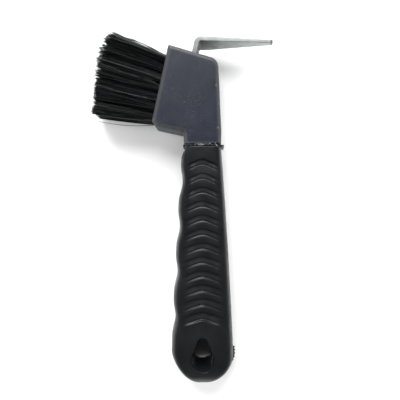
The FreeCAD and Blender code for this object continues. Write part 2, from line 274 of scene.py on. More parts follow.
def add_noise(nodes, links, scale, detail=4.0, roughness=0.55, stretch=(1, 1, 1)):
    """A noise texture in the object's own space. scale is in features per metre."""
    where = nodes.new("ShaderNodeTexCoord")
    mapping = nodes.new("ShaderNodeMapping")
    mapping.inputs["Scale"].default_value = stretch
    texture = nodes.new("ShaderNodeTexNoise")
    texture.inputs["Scale"].default_value = scale
    texture.inputs["Detail"].default_value = detail
    texture.inputs["Roughness"].default_value = roughness
    links.new(where.outputs["Object"], mapping.inputs["Vector"])
    links.new(mapping.outputs["Vector"], texture.inputs["Vector"])
    return texture


def add_ramp(nodes, links, source, stops):
    """A colour ramp from source through (position, colour) stops. A number stands for a grey."""
    ramp = nodes.new("ShaderNodeValToRGB")
    elements = ramp.color_ramp.elements
    while len(elements) < len(stops):
        elements.new(0.5)
    for element, (position, colour) in zip(elements, stops):
        if isinstance(colour, (int, float)):
            colour = (colour, colour, colour)
        element.position = position
        element.color = (*colour, 1.0)
    links.new(source, ramp.inputs["Fac"])
    return ramp


def add_mix(nodes, links, factor, first, second, blend="MIX"):
    """Mixes two colours by factor, or wholly where it is None. A tuple stands for an even colour."""
    mix = nodes.new("ShaderNodeMix")
    mix.data_type = "RGBA"
    mix.blend_type = blend
    mix.inputs[0].default_value = 1.0
    if factor is not None:
        links.new(factor, mix.inputs[0])
    links.new(first, mix.inputs[6])
    if isinstance(second, tuple):
        mix.inputs[7].default_value = (*second, 1.0)
    else:
        links.new(second, mix.inputs[7])
    return mix


def add_bump(nodes, links, height, strength, distance, below=None):
    bump = nodes.new("ShaderNodeBump")
    bump.inputs["Strength"].default_value = strength
    bump.inputs["Distance"].default_value = distance * MM
    links.new(height, bump.inputs["Height"])
    if below is not None:
        links.new(below.outputs["Normal"], bump.inputs["Normal"])
    return bump


def rubber_material():
    """Matt black soft-touch rubber: a dusty bloom, a fine grain and slow changes of gloss."""
    material, nodes, links, shader = new_material("soft_black_rubber")
    bloom = add_noise(nodes, links, 55, detail=6, roughness=0.6)
    colour = add_ramp(
        nodes, links, bloom.outputs["Fac"],
        [
            (0.3, (0.006, 0.0065, 0.007)),
            (0.55, (0.0088, 0.0093, 0.0103)),
            (0.8, (0.0152, 0.0157, 0.0168)),
        ],
    )
    links.new(colour.outputs["Color"], shader.inputs["Base Color"])
    gloss = add_noise(nodes, links, 140, detail=3)
    rough = add_ramp(nodes, links, gloss.outputs["Fac"], [(0.35, 0.28), (0.7, 0.5)])
    # How near the hanging hole a place is, seen from above.
    where = nodes.new("ShaderNodeTexCoord")
    level = nodes.new("ShaderNodeMapping")
    level.inputs["Scale"].default_value = (1.0, 1.0, 0.0)
    links.new(where.outputs["Object"], level.inputs["Vector"])
    away = nodes.new("ShaderNodeVectorMath")
    away.operation = "DISTANCE"
    away.inputs[1].default_value = place(0, HOLE_Y, 0)
    links.new(level.outputs["Vector"], away.inputs[0])
    scaled = nodes.new("ShaderNodeMath")
    scaled.operation = "MULTIPLY"
    scaled.inputs[1].default_value = POLISH_PER_METRE
    links.new(away.outputs["Value"], scaled.inputs[0])
    polished = add_ramp(nodes, links, scaled.outputs["Value"], POLISH_STOPS)
    shader_input_mix = add_mix(nodes, links, polished.outputs["Color"], rough.outputs["Color"], (0.14, 0.14, 0.14))
    links.new(shader_input_mix.outputs[2], shader.inputs["Roughness"])
    shader.inputs["Specular IOR Level"].default_value = 0.22
    grain = add_noise(nodes, links, 2600, detail=3)
    uneven = add_noise(nodes, links, 420, detail=2)
    coarse = add_bump(nodes, links, uneven.outputs["Fac"], 0.25, 0.12)
    fine = add_bump(nodes, links, grain.outputs["Fac"], 0.3, 0.03, below=coarse)
    links.new(fine.outputs["Normal"], shader.inputs["Normal"])
    return material


def torn_rubber_material():
    """The same rubber where it was squeezed thin and torn: shinier, with pale broken edges."""
    material, nodes, links, shader = new_material("torn_black_rubber")
    chips = add_noise(nodes, links, 900, detail=3)
    colour = add_ramp(
        nodes, links, chips.outputs["Fac"],
        [
            (0.4, (0.006, 0.0065, 0.0075)),
            (0.62, (0.012, 0.013, 0.016)),
            (0.72, (0.07, 0.075, 0.09)),
        ],
    )
    links.new(colour.outputs["Color"], shader.inputs["Base Color"])
    gloss = add_noise(nodes, links, 700, detail=3)
    rough = add_ramp(nodes, links, gloss.outputs["Fac"], [(0.36, 0.16), (0.56, 0.45)])
    links.new(rough.outputs["Color"], shader.inputs["Roughness"])
    shader.inputs["Specular IOR Level"].default_value = 0.38
    crumble = add_noise(nodes, links, 1300, detail=4)
    bump = add_bump(nodes, links, crumble.outputs["Fac"], 0.6, 0.25)
    links.new(bump.outputs["Normal"], shader.inputs["Normal"])
    return material


def head_material():
    """Satin grey moulded plastic with a fine grain, flow marks and light scuffs."""
    material, nodes, links, shader = new_material("satin_grey_plastic")
    cloud = add_noise(nodes, links, 90, detail=5, roughness=0.6)
    base = add_ramp(
        nodes, links, cloud.outputs["Fac"],
        [
            (0.3, (0.0115, 0.014, 0.022)),
            (0.6, (0.0145, 0.0172, 0.0265)),
            (0.85, (0.021, 0.024, 0.033)),
        ],
    )
    scratch = add_noise(nodes, links, 260, detail=8, roughness=0.75, stretch=(1.0, 0.25, 1.0))
    marks = add_ramp(nodes, links, scratch.outputs["Fac"], [(0.0, 0.0), (0.66, 0.0), (0.72, 0.5)])
    scuffed = add_mix(nodes, links, marks.outputs["Color"], base.outputs["Color"], (0.045, 0.048, 0.056))
    # Fine pale specks show in patches where the moulded grain glints: painted glints.
    specks = add_noise(nodes, links, 1500, detail=1)
    patches = add_noise(nodes, links, 75, detail=1)
    speckle = nodes.new("ShaderNodeMath")
    speckle.operation = "MULTIPLY"
    speck = add_ramp(nodes, links, specks.outputs["Fac"], [(0.56, 0.0), (0.66, 1.0)])
    patch = add_ramp(nodes, links, patches.outputs["Fac"], [(0.42, 0.0), (0.62, 0.5)])
    links.new(speck.outputs["Color"], speckle.inputs[0])
    links.new(patch.outputs["Color"], speckle.inputs[1])
    grain_glint_specked = add_mix(nodes, links, speckle.outputs["Value"], scuffed.outputs[2], (0.05, 0.052, 0.06))
    # It is painted paler where its faces turn over into its sides, most of all on the corners: partly rubbed
    # wear, partly a painted highlight along the rounded edges.
    where = nodes.new("ShaderNodeTexCoord")
    facing = nodes.new("ShaderNodeSeparateXYZ")
    links.new(where.outputs["Normal"], facing.inputs["Vector"])
    flatness = nodes.new("ShaderNodeMath")
    flatness.operation = "ABSOLUTE"
    links.new(facing.outputs["Z"], flatness.inputs[0])
    turn = add_ramp(
        nodes, links, flatness.outputs["Value"],
        [(0.2, 0.0), (0.7, 0.8), (0.93, 0.7), (0.985, 0.0)],
    )
    edge_wear_and_highlight = add_mix(nodes, links, turn.outputs["Color"], grain_glint_specked.outputs[2], (0.045, 0.0465, 0.0465))
    geometry = nodes.new("ShaderNodeNewGeometry")
    corner = add_ramp(nodes, links, geometry.outputs["Pointiness"], [(0.504, 0.0), (0.52, 0.6), (0.56, 1.0)])
    shader_input_mix = add_mix(nodes, links, corner.outputs["Color"], edge_wear_and_highlight.outputs[2], (0.085, 0.088, 0.086))
    links.new(shader_input_mix.outputs[2], shader.inputs["Base Color"])
    gloss = add_noise(nodes, links, 330, detail=4)
    rough = add_ramp(nodes, links, gloss.outputs["Fac"], [(0.35, 0.36), (0.7, 0.5)])
    links.new(rough.outputs["Color"], shader.inputs["Roughness"])
    shader.inputs["Specular IOR Level"].default_value = 0.27
    grain = add_noise(nodes, links, 1900, detail=3)
    flow = add_noise(nodes, links, 170, detail=3, stretch=(1.0, 0.5, 1.0))
    coarse = add_bump(nodes, links, flow.outputs["Fac"], 0.3, 0.25)
    fine = add_bump(nodes, links, grain.outputs["Fac"], 0.3, 0.04, below=coarse)
    links.new(fine.outputs["Normal"], shader.inputs["Normal"])
    return material


def steel_material():
    """Zinc-plated steel: dull and cloudy, with a painted highlight on its two edges, painted shade towards
    the bend and a darker tip.
    """
    material, nodes, links, shader = new_material("zinc_plated_steel")
    shader.inputs["Metallic"].default_value = 0.9
    cloud = add_noise(nodes, links, 320, detail=6, roughness=0.65)
    flat = add_ramp(
        nodes, links, cloud.outputs["Fac"],
        [(0.3, (0.3, 0.325, 0.32)), (0.55, (0.39, 0.42, 0.41)), (0.8, (0.47, 0.5, 0.49))],
    )
    # Painted highlight: the bar's two narrow edges get a paler colour than its faces.
    edge_highlight = add_ramp(
        nodes, links, cloud.outputs["Fac"],
        [(0.3, (0.42, 0.45, 0.445)), (0.55, (0.49, 0.52, 0.51)), (0.8, (0.56, 0.59, 0.58))],
    )
    where = nodes.new("ShaderNodeTexCoord")
    facing = nodes.new("ShaderNodeSeparateXYZ")
    links.new(where.outputs["Normal"], facing.inputs["Vector"])
    sideways = nodes.new("ShaderNodeMath")
    sideways.operation = "ABSOLUTE"
    links.new(facing.outputs["Z"], sideways.inputs[0])
    on_edge = add_ramp(nodes, links, sideways.outputs["Value"], [(0.6, 0.0), (0.9, 1.0)])
    edge_highlighted = add_mix(nodes, links, on_edge.outputs["Color"], flat.outputs["Color"], edge_highlight.outputs["Color"])
    spot = nodes.new("ShaderNodeSeparateXYZ")
    links.new(where.outputs["Object"], spot.inputs["Vector"])
    along = nodes.new("ShaderNodeMapRange")
    along.inputs["From Min"].default_value = place(HOOK_BEND_X, 0, 0).x
    along.inputs["From Max"].default_value = place(HOOK_TIP_X, 0, 0).x
    links.new(spot.outputs["X"], along.inputs["Value"])
    # Painted shade: the colour darkens along the bar towards the leg and the bend. It is also darker at the
    # very tip.
    shade = add_ramp(
        nodes, links, along.outputs["Result"],
        [
            (0.0, 0.38), (0.05, 0.44), (0.12, 0.68), (0.3, 0.84),
            (0.7, 1.0), (0.96, 1.0), (0.985, 0.4),
        ],
    )
    toned = add_mix(nodes, links, None, edge_highlighted.outputs[2], shade.outputs["Color"], blend="MULTIPLY")
    links.new(toned.outputs[2], shader.inputs["Base Color"])
    brushed = add_noise(nodes, links, 900, detail=5, stretch=(0.15, 1.0, 1.0))
    rough = add_ramp(nodes, links, brushed.outputs["Fac"], [(0.3, 0.45), (0.7, 0.6)])
    links.new(rough.outputs["Color"], shader.inputs["Roughness"])
    bump = add_bump(nodes, links, brushed.outputs["Fac"], 0.25, 0.04)
    links.new(bump.outputs["Normal"], shader.inputs["Normal"])
    return material


def bristle_material():
    """Black nylon filament, semi-gloss and a little dusty, with a few strands painted paler as painted sheen.
    """
    material, nodes, links, shader = new_material("black_nylon_bristle")
    strand = nodes.new("ShaderNodeAttribute")
    strand.attribute_name = "strand"
    dust = add_noise(nodes, links, 700, detail=2)
    tone = nodes.new("ShaderNodeMath")
    tone.operation = "MULTIPLY_ADD"
    tone.inputs[1].default_value = 0.25
    links.new(dust.outputs["Fac"], tone.inputs[0])
    links.new(strand.outputs["Fac"], tone.inputs[2])
    # The palest stop paints a few strands pale: painted sheen.
    colour = add_ramp(
        nodes, links, tone.outputs["Value"],
        [
            (0.1, (0.0026, 0.003, 0.0034)),
            (0.6, (0.005, 0.0056, 0.006)),
            (0.9, (0.01, 0.0115, 0.0115)),
            (1.0, (0.055, 0.06, 0.058)),
        ],
    )
    links.new(colour.outputs["Color"], shader.inputs["Base Color"])
    gloss = add_noise(nodes, links, 1500, detail=2)
    rough = add_ramp(nodes, links, gloss.outputs["Fac"], [(0.35, 0.3), (0.7, 0.45)])
    links.new(rough.outputs["Color"], shader.inputs["Roughness"])
    return material


def wire_material():
    """Bright staple wire, hidden at the bottom of the tuft holes."""
    material, nodes, links, shader = new_material("staple_wire")
    shader.inputs["Metallic"].default_value = 1.0
    drawn = add_noise(nodes, links, 2500, detail=3)
    colour = add_ramp(nodes, links, drawn.outputs["Fac"], [(0.3, 0.42), (0.7, 0.58)])
    links.new(colour.outputs["Color"], shader.inputs["Base Color"])
    rough = add_ramp(nodes, links, drawn.outputs["Fac"], [(0.3, 0.3), (0.7, 0.42)])
    links.new(rough.outputs["Color"], shader.inputs["Roughness"])
    return material


def floor_material():
    """Pale matt backdrop paper."""
    material, nodes, links, shader = new_material("pale_paper")
    cloud = add_noise(nodes, links, 12, detail=3)
    colour = add_ramp(nodes, links, cloud.outputs["Fac"], [(0.3, 0.9), (0.7, 0.92)])
    links.new(colour.outputs["Color"], shader.inputs["Base Color"])
    shader.inputs["Roughness"].default_value = 0.95
    shader.inputs["Specular IOR Level"].default_value = 0.1
    return material


# ---- Meshes ----
def dress(mesh, material):
    """Gives the mesh its only material and smooth shading."""
    mesh.materials.clear()
    mesh.materials.append(material)
    mesh.polygons.foreach_set("use_smooth", [True] * len(mesh.polygons))


def add_object(name, mesh, material, smooth_angle=math.radians(50)):
    """Adds a piece that is shaded smooth, apart from edges sharper than smooth_angle."""
    piece = bpy.data.objects.new(name, mesh)
    bpy.context.collection.objects.link(piece)
    dress(mesh, material)
    mesh.set_sharp_from_angle(angle=smooth_angle)
    return piece


def ring_mesh(name, rings):
    """A closed skin over rings of equal length, each a list of places in millimetres, capped at both ends."""
    count = len(rings[0])
    points = [place(*point) for ring in rings for point in ring]
    faces = []
    for i in range(len(rings) - 1):
        for j in range(count):
            k = (j + 1) % count
            faces.append((i * count + j, i * count + k, (i + 1) * count + k, (i + 1) * count + j))
    faces.append(tuple(range(count))[::-1])
    last = (len(rings) - 1) * count
    faces.append(tuple(last + j for j in range(count)))
    mesh = bpy.data.meshes.new(name)
    mesh.from_pydata(points, [], faces)
    mesh.update()
    return mesh


def finish_piece(piece, slot, *nodes):
    """Hides the CAD nodes that the piece stands for and puts it on its body. slot is not used."""
    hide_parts(*nodes)
    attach(piece, BODY)


# ---- Grip ----
def round_over(y, height, power):
    """How much of the full size is left at y where the butt is rounded over up to height."""
    if y >= height:
        return 1.0
    return max(1 - ((height - y) / height) ** power, 0.0) ** (1 / power)


def half_widths(y):
    """Half widths of the grip at y, on the finger side and on the plain side."""
    share = min(max((y - TAPER_START_Y) / (GRIP_LENGTH - TAPER_START_Y), 0.0), 1.0)
    plain = BUTT_HALF_WIDTH + (TOP_HALF_WIDTH - BUTT_HALF_WIDTH) * share
    plain += SIDE_BOW * math.sin(math.pi * share)
    fingers = plain + FINGER_BULGE * share
    if y > LOWEST_BULGE_Y:
        wave = 1 - math.cos(2 * math.pi * (y - LOWEST_BULGE_Y) / SCALLOP_PITCH)
        fingers -= SCALLOP_DEPTH * (wave / 2) ** SCALLOP_POWER
    fingers *= round_over(y, FINGER_ROUND_Y, FINGER_ROUND_POWER)
    return fingers, plain * round_over(y, PLAIN_ROUND_Y, PLAIN_ROUND_POWER)


def grip_rows():
    """Stations along the grip, close together where the butt and the rim are rounded over."""
    turn = np.linspace(0.0, math.pi / 2, BUTT_ROWS)
    butt = TAPER_START_Y * (1 - np.cos(turn))
    rows = [y for y in butt if y > BUTT_START_Y]
    rows += list(np.arange(TAPER_START_Y + GRIP_ROW_STEP, GRIP_LENGTH - RIM_ROUND, GRIP_ROW_STEP))
    rim = np.linspace(0.0, math.pi / 2, RIM_ROWS)
    rows += [GRIP_LENGTH - RIM_ROUND + RIM_ROUND * math.sin(angle) for angle in rim]
    return rows


def hill(across, roundness, drop):
    """0 on the centreline and drop at the panel's edge: an arch, or a chevron when roundness is small."""
    top = np.sqrt(roundness**2 + across**2) - roundness
    return drop * top / (math.sqrt(roundness**2 + 1) - roundness)


def between(first, second, share):
    """A row of depths, share of the way from first to second."""
    return np.array(first) * (1 - share) + np.array(second) * share


def rib_relief(x, y, half_panel):
    """How deep the ribbing lies below the grip's face, in millimetres, at the places x along one row."""
    across = np.abs(x) / half_panel
    side = 1 - smooth(RIB_FADE_FROM, RIB_FADE_TO, across)
    beyond = smooth(LIP_REACH - LIP_FADE, LIP_REACH + LIP_FADE, across)
    depth = np.zeros_like(x)
    for i in range(RIB_COUNT):
        last = i == RIB_COUNT - 1
        down_share = i / (RIB_COUNT - 1)
        strength = TOP_RIB_STRENGTH + (1 - TOP_RIB_STRENGTH) * down_share
        arch = FIRST_RIB_Y - RIB_PITCH * i - hill(across, ARCH_ROUNDNESS, ARCH_DROP)
        below = TOP_LIP_BELOW_ARCH + (LOW_LIP_BELOW_ARCH - TOP_LIP_BELOW_ARCH) * down_share
        lip_round = TOP_LIP_ROUNDNESS - LIP_ROUNDNESS_LOSS * down_share
        lip_drop = ARCH_DROP + LOW_LIP_EXTRA_DROP * down_share
        lip = FIRST_RIB_Y - RIB_PITCH * i - below - hill(across, lip_round, lip_drop)
        hollow = (arch - y) / (arch - lip)
        crest = (lip - y) / (RIB_PITCH - below)
        in_hollow = (hollow > 0) & (hollow < 1)
        on_crest = (crest >= 0) & (crest < CREST_END) & (depth == 0)
        hollow_depths = between(TOP_HOLLOW_DEPTHS, LOW_HOLLOW_DEPTHS, down_share)
        side_depths = LAST_SIDE_DEPTHS if last else SIDE_HOLLOW_DEPTHS
        in_middle = np.interp(hollow, HOLLOW_SHARES, hollow_depths)
        at_side = np.interp(hollow, HOLLOW_SHARES, side_depths)
        depth = np.where(in_hollow, strength * (in_middle * (1 - beyond) + at_side * beyond), depth)
        if not last:
            crest_depths = between(TOP_CREST_DEPTHS, LOW_CREST_DEPTHS, down_share)
            in_middle = np.interp(crest, CREST_SHARES, crest_depths)
            at_side = np.interp(crest, CREST_SHARES, SIDE_CREST_DEPTHS)
            depth = np.where(on_crest, strength * (in_middle * (1 - beyond) + at_side * beyond), depth)
    return depth * RIB_DEPTH * side


def grip_ring(y):
    """The grip's cross-section at y, evenly spaced, with its ribs."""
    fingers, plain = half_widths(y)
    depth = MIDDLE_Z * round_over(y, EDGE_ROUND_Y, EDGE_ROUND_POWER)
    from_rim = GRIP_LENGTH - y
    rim = 0.0
    if from_rim < RIM_ROUND:
        rim = RIM_ROUND - math.sqrt(max(RIM_ROUND**2 - (RIM_ROUND - from_rim) ** 2, 0.0))
    angle = np.linspace(0, 2 * math.pi, GRIP_FINE_STEPS, endpoint=False)
    across, up = np.cos(angle), np.sin(angle)
    width = np.where(across > 0, plain - rim, fingers - rim)
    x = width * np.sign(across) * np.abs(across) ** (2 / SECTION_POWER)
    level = PLUMP * np.abs(up) ** (2 / SECTION_POWER)
    past = np.clip(PLUMP - level, 0.0, PLUMP - SHOULDER_START)
    soft = 1 - past**2 / (2 * (PLUMP - SHOULDER_START))
    level = np.where(level > SHOULDER_START, np.maximum(soft, 0), level)
    z = np.sign(up) * level * (depth - rim)
    x = x + (x < 0) * finger_rim(from_rim) * np.abs(across) ** 2
    step = np.hypot(np.diff(x, append=x[0]), np.diff(z, append=z[0]))
    along = np.concatenate([[0.0], np.cumsum(step)])
    wanted = np.linspace(0, along[-1], GRIP_SIDES, endpoint=False)
    x = np.interp(wanted, along, np.append(x, x[0]))
    z = np.interp(wanted, along, np.append(z, z[0]))
    bead = PARTING_BEAD + FLASH_HEIGHT * (x > 0) * flash_share(y)
    x = x + np.sign(x) * bead * np.exp(-((z / PARTING_HALF_WIDTH) ** 2))
    half_panel = PANEL_SHARE * (fingers + plain) / 2
    relief = rib_relief(x, y, half_panel)
    z = z - np.sign(z) * np.minimum(relief, np.abs(z))
    return [(float(a), y, MIDDLE_Z + float(b)) for a, b in zip(x, z)]


def finger_rim(from_rim):
    """How far the finger side draws in towards the rim, beyond the rim's own round."""
    left = min(from_rim / FINGER_RIM_HEIGHT, 1.0)
    return FINGER_RIM_INSET * (1 - left) ** FINGER_RIM_POWER


def flash_share(y):
    """The ragged fin of rubber that the mould left at the butt, from 0 to 1 along its length."""
    start = smooth(FLASH_FROM_Y, FLASH_FROM_Y + FLASH_START_FADE, y)
    end = 1 - smooth(FLASH_TO_Y - FLASH_END_FADE, FLASH_TO_Y, y)
    long_wave, short_wave = FLASH_WAVES
    ragged = FLASH_RAGGED * math.sin(long_wave * y) * math.sin(short_wave * y + 1.0)
    return start * end * (1 - FLASH_RAGGED + ragged)


def teardrop_ring(z, grow):
    """The hanging hole's outline at height z, grown all round."""
    radius, tip = HOLE_RADIUS + grow, HOLE_TIP_RADIUS + grow
    slant = math.asin((HOLE_RADIUS - HOLE_TIP_RADIUS) / HOLE_TIP_DISTANCE)
    half = HOLE_SIDES // 2
    points = []
    for i in range(half):
        angle = math.pi - slant + (math.pi + 2 * slant) * i / (half - 1)
        points.append((radius * math.cos(angle), HOLE_Y + radius * math.sin(angle), z))
    for i in range(half):
        angle = slant + (math.pi - 2 * slant) * i / (half - 1)
        points.append((tip * math.cos(angle), HOLE_Y + HOLE_TIP_DISTANCE + tip * math.sin(angle), z))
    return points


def hole_cutter():
    """The hanging hole as a solid that flares where it meets the grip's front and back."""
    levels = [(-HOLE_OVERSHOOT, HOLE_LIP + HOLE_LIP_SPARE)]
    for angle in np.linspace(0, math.pi / 2, HOLE_LIP_STEPS):
        levels.append((HOLE_LIP * (1 - math.cos(angle)), HOLE_LIP * (1 - math.sin(angle))))
    rings = [teardrop_ring(z, grow) for z, grow in levels]
    rings += [teardrop_ring(GRIP_THICKNESS - z, grow) for z, grow in reversed(levels)]
    cutter = bpy.data.objects.new("hole_cutter", ring_mesh("hole_cutter", rings))
    bpy.context.collection.objects.link(cutter)
    return cutter


def apply_modifiers(piece):
    """Bakes the object's modifiers into its mesh."""
    graph = bpy.context.evaluated_depsgraph_get()
    mesh = bpy.data.meshes.new_from_object(piece.evaluated_get(graph))
    piece.modifiers.clear()
    piece.data = mesh


def make_grip(material):
    """The rubber grip's outer skin, with the hanging hole cut through it."""
    rings = [grip_ring(y) for y in grip_rows()]
    mesh = ring_mesh("rubber_grip_skin", rings)
    grip = add_object("grip_skin", mesh, material)
    cutter = hole_cutter()
    cut = grip.modifiers.new("hanging_hole", "BOOLEAN")
    cut.object = cutter
    cut.operation = "DIFFERENCE"
    cut.solver = "EXACT"
    apply_modifiers(grip)
    bpy.data.objects.remove(cutter)
    finish_piece(grip, "black_rubber", "rubber_grip")


def make_rim_flash(material):
    """Thin ragged rubber that squeezed out of the mould round the neck, above the grip's rim."""
    rings = []
    for i, (above, grow) in enumerate(RIM_FLASH_PROFILE):
        ring = []
        for j in range(RIM_FLASH_SIDES):
            angle = 2 * math.pi * j / RIM_FLASH_SIDES
            across, up = math.cos(angle), math.sin(angle)
            x = math.copysign(abs(across) ** (2 / RIM_FLASH_POWER), across)
            z = math.copysign(abs(up) ** (2 / RIM_FLASH_POWER), up)
            fine = noise.noise(Vector((x * FINE_TEAR_SCALE, z * FINE_TEAR_SCALE, i * FINE_TEAR_RING_STEP)))
            coarse = noise.noise(Vector((x * COARSE_TEAR_SCALE, z * COARSE_TEAR_SCALE, COARSE_TEAR_LAYER)))
            out, high = grow, above
            if i > 0:
                out += FINE_TEAR_OUT * fine + COARSE_TEAR_OUT * coarse
            if i in RIM_FIN_RINGS:
                out += RIM_FIN * max(across, 0.0) ** RIM_FIN_POWER
            if i > 1:
                high += COARSE_TEAR_UP * coarse + FINE_TEAR_UP * fine
            wide = x * (RIM_FLASH_HALF_WIDTH + out)
            deep = z * (RIM_FLASH_HALF_DEPTH + out)
            ring.append((wide, GRIP_LENGTH + high, MIDDLE_Z + deep))
        rings.append(ring)
    flash = add_object("rim_flash", ring_mesh("rim_flash", rings), material, math.radians(35))
    finish_piece(flash, "black_rubber", "rubber_grip")


# ---- Head ----
def make_head(material):
    """The moulded head: the CAD head and core, cut off inside the grip and remeshed with soft edges."""
    source = frame["nodes"]["head_and_core"]
    mesh = source.data.copy()
    head = bpy.data.objects.new("moulded_head", mesh)
    bpy.context.collection.objects.link(head)
    work = bmesh.new()
    work.from_mesh(mesh)
    cut_y = place(0, GRIP_LENGTH - HEAD_BELOW_RIM, 0).y
    bmesh.ops.remove_doubles(work, verts=work.verts, dist=MERGE_DISTANCE)
    geometry = work.verts[:] + work.edges[:] + work.faces[:]
    cut = bmesh.ops.bisect_plane(
        work, geom=geometry, plane_co=(0, cut_y, 0), plane_no=(0, -1, 0), clear_outer=True
    )
    rim = [item for item in cut["geom_cut"] if isinstance(item, bmesh.types.BMEdge)]
    bmesh.ops.holes_fill(work, edges=rim)
    work.to_mesh(mesh)
    work.free()
    remesh = head.modifiers.new("remesh", "REMESH")
    remesh.mode = "VOXEL"
    remesh.voxel_size = HEAD_VOXEL * MM
    soften = head.modifiers.new("soften", "SMOOTH")
    soften.factor = HEAD_SOFTEN_FACTOR
    soften.iterations = HEAD_SOFTEN_STEPS
    apply_modifiers(head)
    dress(head.data, material)
    finish_piece(head, "grey_plastic", "head_and_core")


# ---- Hook ----
def brush_face_point(down, z):
    """The place that lies down along the head's brush face from its top corner, at height z."""
    return Vector((HEAD_TOP_LEFT[0], HEAD_TOP_LEFT[1], z)) + FACE_DOWN * down


def hook_line():
    """Stations (place, along) on the hook's outer side, from inside the head, round the bend, to the tip."""
    leg_up, leg_in = -FACE_DOWN, -FACE_OUT
    arm, arm_up = Vector((1, 0, 0)), Vector((0, 1, 0))
    outer = HOOK_BEND_INNER_RADIUS + HOOK_THICKNESS
    start = brush_face_point(0, MIDDLE_Z) + leg_in * (HOOK_LEG_SETBACK + outer)
    rise = (HOOK_TOP_Y - outer - start.y) / leg_up.y
    centre = start + leg_up * rise
    leg_out = -leg_in
    sweep = leg_out.angle(arm_up)
    stations = []
    for i in range(HOOK_LEG_STEPS):
        back = (rise + HOOK_LEG_IN_HEAD) * (1 - i / HOOK_LEG_STEPS)
        stations.append((centre + leg_out * outer - leg_up * back, leg_up))
    for i in range(HOOK_BEND_STEPS + 1):
        turn = Matrix.Rotation(-sweep * i / HOOK_BEND_STEPS, 3, "Z")
        stations.append((centre + turn @ (leg_out * outer), turn @ leg_up))
    length = HOOK_TIP_X - centre.x
    for i in range(1, HOOK_ARM_STEPS + 1):
        stations.append((centre + arm_up * outer + arm * (length * i / HOOK_ARM_STEPS), arm))
    return stations


def bar_ring(origin, inward, half_width, thickness):
    """A rounded rectangle across the bar: inward is towards its inner side, and its width is along z."""
    points = []
    corner = min(HOOK_CORNER, thickness / 2 * HOOK_CORNER_LIMIT, half_width * HOOK_CORNER_LIMIT)
    for side, depth, turn in ((1, 0, 0), (1, 1, 1), (-1, 1, 2), (-1, 0, 3)):
        centre_z = side * (half_width - corner)
        centre_in = corner if depth == 0 else thickness - corner
        for i in range(HOOK_CORNER_POINTS):
            # The angle runs from straight out through the width side to the inner side.
            angle = math.pi / 2 * (turn + i / (HOOK_CORNER_POINTS - 1))
            out = -math.cos(angle) * corner
            wide = math.sin(angle) * corner
            points.append(origin + inward * (centre_in + out) + Vector((0, 0, centre_z + wide)))
    return points


def make_hook(material):
    """The flat bar, which tapers in width and thickness towards its tip."""
    rings = []
    for here, along in hook_line():
        inward = Vector((along.y, -along.x, 0))
        share = min(max((here.x - HOOK_TAPER_START_X) / (HOOK_TIP_X - HOOK_TAPER_START_X), 0.0), 1.0)
        half = (HOOK_WIDTH + (HOOK_TIP_WIDTH - HOOK_WIDTH) * share) / 2
        thick = HOOK_THICKNESS + (HOOK_TIP_THICKNESS - HOOK_THICKNESS) * share
        left = HOOK_TIP_X - here.x
        if left < HOOK_TIP_CORNER:
            inside = HOOK_TIP_CORNER**2 - (HOOK_TIP_CORNER - left) ** 2
            half -= HOOK_TIP_CORNER - math.sqrt(max(inside, 0))
        rings.append([tuple(point) for point in bar_ring(here, inward, half, thick)])
    mesh = ring_mesh("hook_bar", rings)
    hook = add_object("hook_bar", mesh, material, math.radians(40))
    finish_piece(hook, "galvanised_steel", "steel_hook")


# ---- Brush ----
def tuft_frame(column, row):
    """Where a tuft leaves the brush face, and the way that it points."""
    share = column / (TUFTS_PER_ROW - 1)
    side = row - (TUFT_ROWS - 1) / 2
    root = brush_face_point(FIRST_TUFT + TUFT_PITCH * column, MIDDLE_Z + TUFT_ROW_PITCH * side)
    tilt = TOP_TUFT_TILT + (BOTTOM_TUFT_TILT - TOP_TUFT_TILT) * share
    flat = FACE_OUT * math.cos(tilt) - FACE_DOWN * math.sin(tilt)
    spread = SIDE_TUFT_TILT * side
    return root, flat * math.cos(spread) + Vector((0, 0, math.sin(spread)))


def add_filament(points, faces, line, radius):
    """Adds one tapered filament along line to the lists."""
    start = len(points)
    axis = (line[-1] - line[0]).normalized()
    across = axis.orthogonal().normalized()
    other = axis.cross(across)
    for i, centre in enumerate(line):
        share = i / (len(line) - 1)
        size = radius * (1.0 - FILAMENT_TAPER * share)
        for k in range(FILAMENT_SIDES):
            angle = 2 * math.pi * k / FILAMENT_SIDES
            points.append(centre + (across * math.cos(angle) + other * math.sin(angle)) * size)
    for i in range(len(line) - 1):
        low = start + i * FILAMENT_SIDES
        high = low + FILAMENT_SIDES
        for k in range(FILAMENT_SIDES):
            n = (k + 1) % FILAMENT_SIDES
            faces.append((low + k, low + n, high + n, high + k))
    faces.append(tuple(start + k for k in range(FILAMENT_SIDES))[::-1])
    last = start + (len(line) - 1) * FILAMENT_SIDES
    faces.append(tuple(last + k for k in range(FILAMENT_SIDES)))


def filament_length(trimmed, column, radius, high_share, chance):
    """How far a filament reaches from the brush face. trimmed is where a clean trim would end it."""
    length = trimmed + chance.gauss(0, LENGTH_SCATTER) - OUTER_SHORTENING * radius**3 * chance.random()
    if column == 0:
        length -= TOP_TUFT_CUT + TOP_TUFT_SLANT * high_share
    if column == 1:
        length -= SECOND_TUFT_CUT + SECOND_TUFT_CUT * high_share
    if column == TUFTS_PER_ROW - 1:
        length -= LAST_TUFT_SLANT * (1 + high_share)
    if chance.random() < BROKEN_CHANCE:
        length -= chance.uniform(*BROKEN_LENGTHS)
    return min(length, trimmed + LONGEST_EXTRA)


